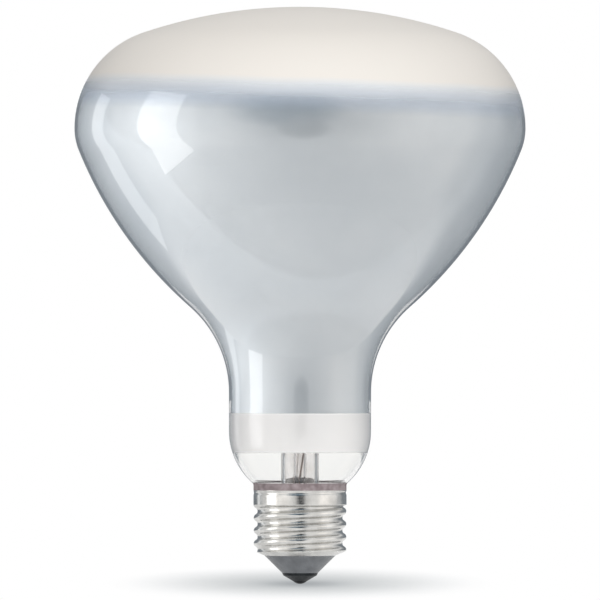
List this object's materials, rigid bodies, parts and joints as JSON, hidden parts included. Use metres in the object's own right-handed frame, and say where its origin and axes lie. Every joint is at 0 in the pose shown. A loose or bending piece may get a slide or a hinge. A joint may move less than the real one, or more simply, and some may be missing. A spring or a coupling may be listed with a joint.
{
  "type": "led reflector bulb",
  "caption": "Reflector bulb with a mirrored bowl, a frosted crown, a clear neck over a glass stem, and an E27 screw cap.",
  "frame": {"origin": "tip of the centre contact, on the bulb's axis, at the bottom of the whole bulb", "axes": "+Z along the bulb's axis, from the centre contact to the frosted crown; +X to the right and -Y towards the viewer in the picture"},
  "size_m": [0.127, 0.127, 0.1625],
  "materials": {
    "envelope_glass": "polished clear glass, etched to a cream frost over the crown",
    "mirror_film": "satin aluminium film seen through the glass",
    "stem_glass": "clear polished glass",
    "support_glass": "clear drawn glass",
    "nickel_wire": "drawn nickel-plated steel wire",
    "lead_wire": "dull copper-clad wire",
    "phosphor": "matte yellow phosphor silicone",
    "cement": "baked brown lamp cement",
    "cap_metal": "rolled nickel-plated sheet, polished",
    "insulator": "smooth grey moulding",
    "contact_metal": "darkened plated brass",
    "solder": "dull dark solder",
    "board": "green solder mask on glass fibre",
    "capacitor_can": "dark sleeve",
    "resistor_coat": "dull flameproof coat",
    "ferrite": "matte dark ferrite",
    "enamelled_copper": "glossy enamelled copper wire",
    "chip_plastic": "moulded black epoxy"
  },
  "bodies": {
    "root": {"glass_envelope": "envelope_glass", "mirror_coating": "mirror_film", "stem_glass": "stem_glass", "exhaust_tube": "stem_glass", "support_rod": "support_glass", "lower_bar_a": "nickel_wire", "lower_bar_b": "nickel_wire", "upper_bar_a": "nickel_wire", "upper_bar_b": "nickel_wire", "carrier_wire_a": "nickel_wire", "carrier_wire_b": "nickel_wire", "support_wire_a": "nickel_wire", "support_wire_b": "nickel_wire", "led_filament_1": "phosphor", "led_filament_2": "phosphor", "led_filament_3": "phosphor", "led_filament_4": "phosphor", "filament_tabs": "nickel_wire", "lead_wire_a": "lead_wire", "lead_wire_b": "lead_wire", "cement_ring": "cement", "cap_shell": "cap_metal", "cap_insulator": "insulator", "contact_plate": "contact_metal", "contact_solder": "solder", "driver_board": "board", "smoothing_capacitor": "capacitor_can", "fuse_resistor": "resistor_coat", "centre_wire": "lead_wire", "shell_wire": "lead_wire", "choke_core": "ferrite", "choke_winding": "enamelled_copper", "bridge_rectifier": "chip_plastic", "driver_chip": "chip_plastic"}
  },
  "joints": []
}
